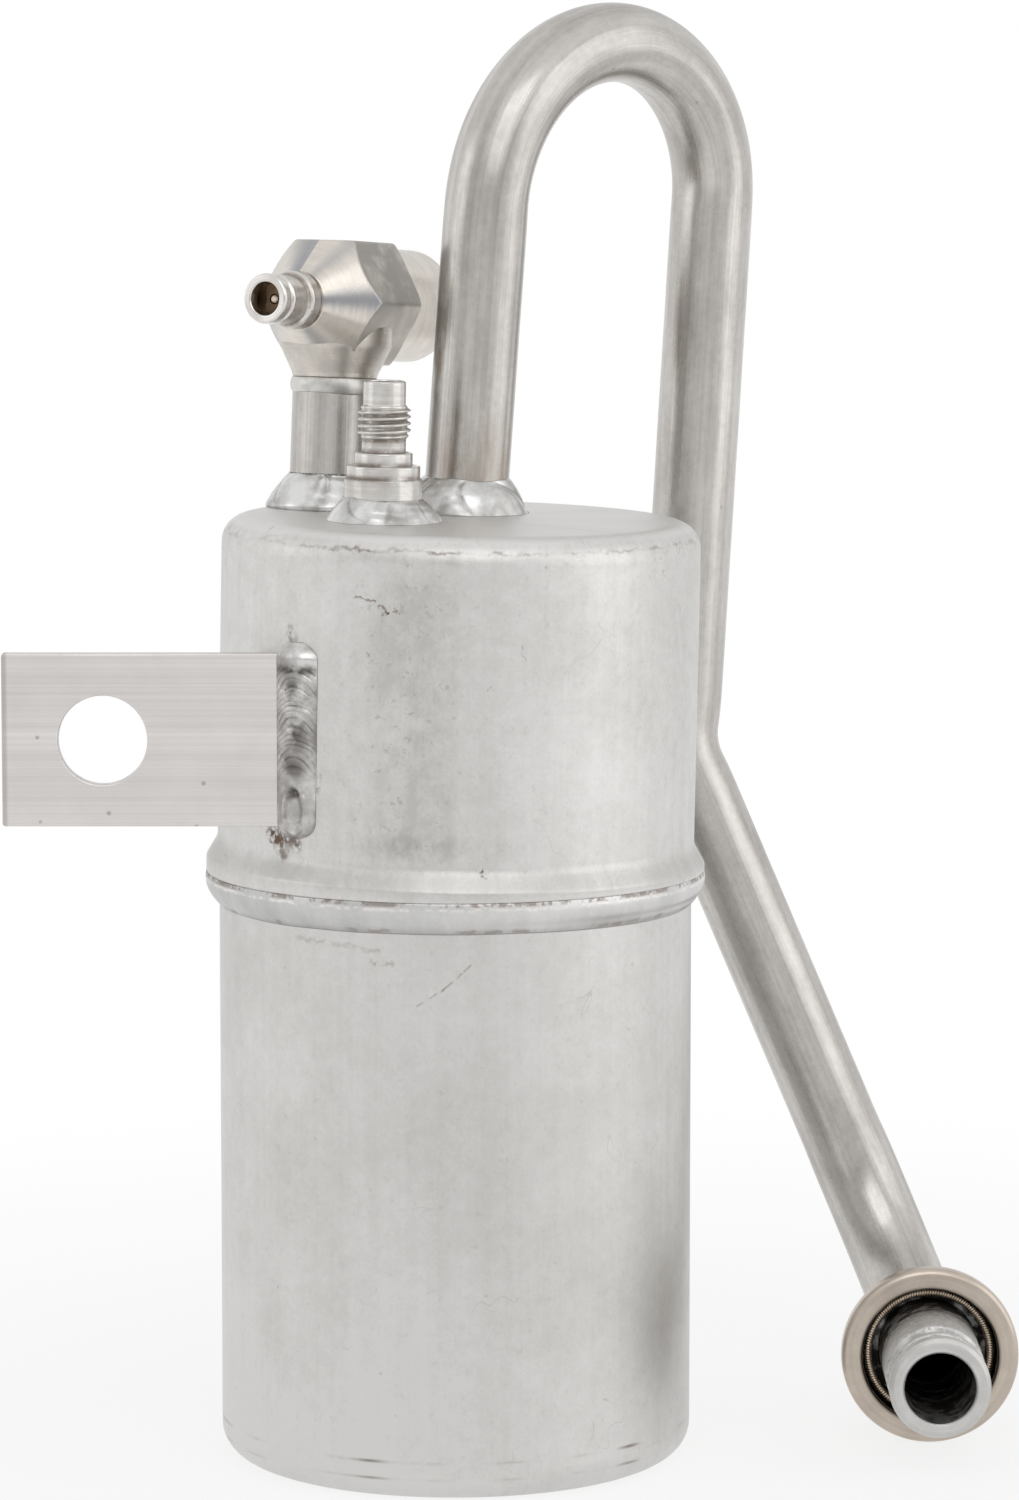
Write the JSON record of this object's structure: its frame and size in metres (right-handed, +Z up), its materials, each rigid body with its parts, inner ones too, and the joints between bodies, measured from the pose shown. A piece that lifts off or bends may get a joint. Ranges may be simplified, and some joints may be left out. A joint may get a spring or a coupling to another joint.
{
  "type": "receiver drier",
  "caption": "Receiver drier: welded aluminium can with a side strap, hexagonal inlet block with a service port, threaded switch stub and an arched outlet pipe ending in a quick coupling",
  "frame": {"origin": "centre of the can's flat bottom face", "axes": "+Z up along the can; +X toward the outlet coupling; the couplings and the strap's face look along -Y"},
  "size_m": [0.1898, 0.1121, 0.2738],
  "materials": {
    "can_shell": "satin",
    "strap_bar": "satin",
    "weld": "bright",
    "tube": "satin",
    "turned_block": "turned",
    "cage_plate": "satin",
    "spring_steel": "satin",
    "valve_brass": "satin",
    "seal_rubber": "matte",
    "strainer_plastic": "matte",
    "strainer_mesh": "matte",
    "bag_felt": "matte"
  },
  "bodies": {
    "can": {"bag_tie": "strainer_plastic", "block_braze": "weld", "deflector_dome": "strainer_plastic", "desiccant_bag": "bag_felt", "girth_weld": "weld", "inlet_block": "turned_block", "inlet_riser": "tube", "lower_shell": "can_shell", "mounting_strap": "strap_bar", "oil_strainer_frame": "strainer_plastic", "oil_strainer_mesh": "strainer_mesh", "outlet_cage": "cage_plate", "outlet_garter_spring": "spring_steel", "outlet_pipe": "tube", "outlet_spigot": "turned_block", "outlet_weld": "weld", "pickup_tube": "tube", "riser_weld": "weld", "service_core_body": "valve_brass", "service_core_spring": "spring_steel", "service_port": "turned_block", "spigot_braze": "weld", "strap_weld_front": "weld", "strap_weld_rear": "weld", "switch_core_body": "valve_brass", "switch_core_spring": "spring_steel", "switch_port": "turned_block", "switch_port_weld": "weld", "upper_shell": "can_shell"},
    "service_pin": {"service_core_pin": "spring_steel", "service_core_seal": "seal_rubber"},
    "switch_pin": {"switch_core_pin": "spring_steel", "switch_core_seal": "seal_rubber"}
  },
  "joints": [
    {"name": "service_pin_press", "type": "slide", "parent": "can", "child": "service_pin", "axis": [0.5138, 0.8551, -0.0698], "range_m": [0, 0.0015], "stiffness_N_per_m": 400, "springref_m": -0.002, "deforming": ["service_core_spring"]},
    {"name": "switch_pin_press", "type": "slide", "parent": "can", "child": "switch_pin", "axis": [-0.0192, 0, -0.9998], "range_m": [0, 0.0015], "stiffness_N_per_m": 400, "springref_m": -0.002, "deforming": ["switch_core_spring"]}
  ]
}
